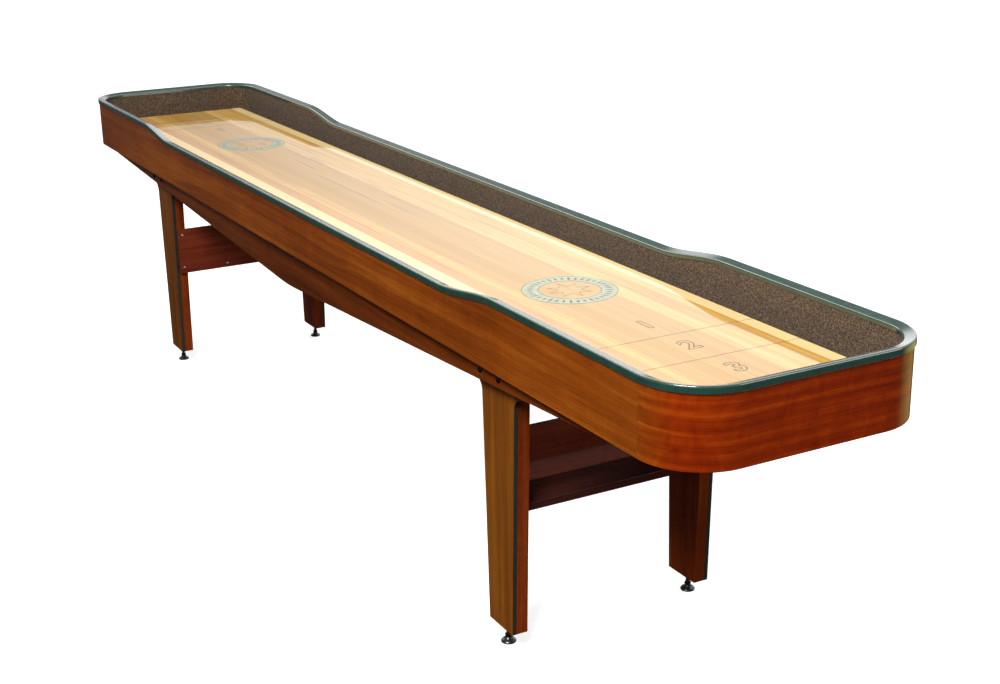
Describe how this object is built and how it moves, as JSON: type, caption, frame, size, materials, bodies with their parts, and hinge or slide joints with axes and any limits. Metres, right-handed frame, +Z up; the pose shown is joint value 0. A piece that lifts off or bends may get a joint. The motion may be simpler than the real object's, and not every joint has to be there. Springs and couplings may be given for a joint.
{
  "type": "shuffleboard table",
  "caption": "Long table shuffleboard cabinet with rounded ends, smooth rail, maple playfield in carpeted gutters, tapered legs with shelves and screw levelling feet.",
  "frame": {"origin": "on the floor, under the centre of the table", "axes": "+X along the table towards its near end, +Y across it to the right, +Z up"},
  "size_m": [3.658, 0.6, 0.8127],
  "materials": {
    "cherry_ply": "glossy cherry stain",
    "leg_wood": "glossy brown stain, dark edges",
    "red_wood": "satin red-brown stain",
    "rail_vinyl": "glossy dark teal",
    "carpet": "short speckled pile",
    "maple": "clear epoxy, mirror gloss",
    "support_wood": "bare plywood and softwood",
    "bolt_steel": "dark oxide",
    "zinc_steel": "zinc plated",
    "pad_plastic": "black moulded"
  },
  "bodies": {
    "table": {"side_panel_left": "cherry_ply", "side_panel_right": "cherry_ply", "end_cap_near": "cherry_ply", "end_cap_far": "cherry_ply", "apron_left": "cherry_ply", "apron_right": "cherry_ply", "carpet_liner_left": "carpet", "carpet_liner_right": "carpet", "carpet_liner_near": "carpet", "carpet_liner_far": "carpet", "gutter_carpet": "carpet", "rail_left": "rail_vinyl", "rail_right": "rail_vinyl", "rail_near": "rail_vinyl", "rail_far": "rail_vinyl", "bottom_panel": "support_wood", "playfield_cleat_1": "support_wood", "playfield_cleat_2": "support_wood", "playfield_cleat_3": "support_wood", "playfield_cleat_4": "support_wood", "playfield_cleat_5": "support_wood", "playfield": "maple", "leg_board_near_left": "leg_wood", "leg_board_near_right": "leg_wood", "leg_board_far_left": "leg_wood", "leg_board_far_right": "leg_wood", "leg_block_near_left": "red_wood", "leg_block_near_right": "red_wood", "leg_block_far_left": "red_wood", "leg_block_far_right": "red_wood", "cross_board_near": "red_wood", "cross_board_far": "red_wood", "leg_shelf_near": "red_wood", "leg_shelf_far": "red_wood", "leg_bolt_near_left_1": "bolt_steel", "leg_bolt_near_left_2": "bolt_steel", "leg_bolt_near_right_1": "bolt_steel", "leg_bolt_near_right_2": "bolt_steel", "leg_bolt_far_left_1": "bolt_steel", "leg_bolt_far_left_2": "bolt_steel", "leg_bolt_far_right_1": "bolt_steel", "leg_bolt_far_right_2": "bolt_steel", "leg_insert_near_left": "zinc_steel", "leg_insert_near_right": "zinc_steel", "leg_insert_far_left": "zinc_steel", "leg_insert_far_right": "zinc_steel", "adjuster_angle_near_left": "zinc_steel", "adjuster_angle_near_right": "zinc_steel", "adjuster_angle_far_left": "zinc_steel", "adjuster_angle_far_right": "zinc_steel"},
    "leveler_pad_near_left": {"leveler_pad_near_left": "pad_plastic"},
    "leveler_stem_near_left": {"leveler_stem_near_left": "bolt_steel"},
    "leveler_pad_near_right": {"leveler_pad_near_right": "pad_plastic"},
    "leveler_stem_near_right": {"leveler_stem_near_right": "bolt_steel"},
    "leveler_pad_far_left": {"leveler_pad_far_left": "pad_plastic"},
    "leveler_stem_far_left": {"leveler_stem_far_left": "bolt_steel"},
    "leveler_pad_far_right": {"leveler_pad_far_right": "pad_plastic"},
    "leveler_stem_far_right": {"leveler_stem_far_right": "bolt_steel"},
    "adjuster_rod_near": {"adjuster_rod_near": "zinc_steel"},
    "adjuster_rod_far": {"adjuster_rod_far": "zinc_steel"}
  },
  "joints": [
    {"name": "leveler_near_left_height", "type": "slide", "parent": "table", "child": "leveler_pad_near_left", "axis": [0, 0, 1], "range_m": [-0.012, 0.008]},
    {"name": "leveler_near_left_screw", "type": "hinge", "parent": "leveler_pad_near_left", "child": "leveler_stem_near_left", "pos_m": [1.127, -0.243, 0.02], "axis": [0, 0, 1], "range_deg": [-2722, 1815]},
    {"name": "leveler_near_right_height", "type": "slide", "parent": "table", "child": "leveler_pad_near_right", "axis": [0, 0, 1], "range_m": [-0.012, 0.008]},
    {"name": "leveler_near_right_screw", "type": "hinge", "parent": "leveler_pad_near_right", "child": "leveler_stem_near_right", "pos_m": [1.127, 0.243, 0.02], "axis": [0, 0, 1], "range_deg": [-2722, 1815]},
    {"name": "leveler_far_left_height", "type": "slide", "parent": "table", "child": "leveler_pad_far_left", "axis": [0, 0, 1], "range_m": [-0.012, 0.008]},
    {"name": "leveler_far_left_screw", "type": "hinge", "parent": "leveler_pad_far_left", "child": "leveler_stem_far_left", "pos_m": [-1.127, -0.243, 0.02], "axis": [0, 0, 1], "range_deg": [-2722, 1815]},
    {"name": "leveler_far_right_height", "type": "slide", "parent": "table", "child": "leveler_pad_far_right", "axis": [0, 0, 1], "range_m": [-0.012, 0.008]},
    {"name": "leveler_far_right_screw", "type": "hinge", "parent": "leveler_pad_far_right", "child": "leveler_stem_far_right", "pos_m": [-1.127, 0.243, 0.02], "axis": [0, 0, 1], "range_deg": [-2722, 1815]},
    {"name": "adjuster_near_turn", "type": "hinge", "parent": "table", "child": "adjuster_rod_near", "pos_m": [0.375, 0, 0.679], "axis": [0, 1, 0], "range_deg": [-360, 360]},
    {"name": "adjuster_far_turn", "type": "hinge", "parent": "table", "child": "adjuster_rod_far", "pos_m": [-0.375, 0, 0.679], "axis": [0, 1, 0], "range_deg": [-360, 360]}
  ],
  "couplings": [
    {"joint": "leveler_near_left_screw", "follows": "leveler_near_left_height", "rad_per_m": 3957.9},
    {"joint": "leveler_near_right_screw", "follows": "leveler_near_right_height", "rad_per_m": 3957.9},
    {"joint": "leveler_far_left_screw", "follows": "leveler_far_left_height", "rad_per_m": 3957.9},
    {"joint": "leveler_far_right_screw", "follows": "leveler_far_right_height", "rad_per_m": 3957.9}
  ]
}
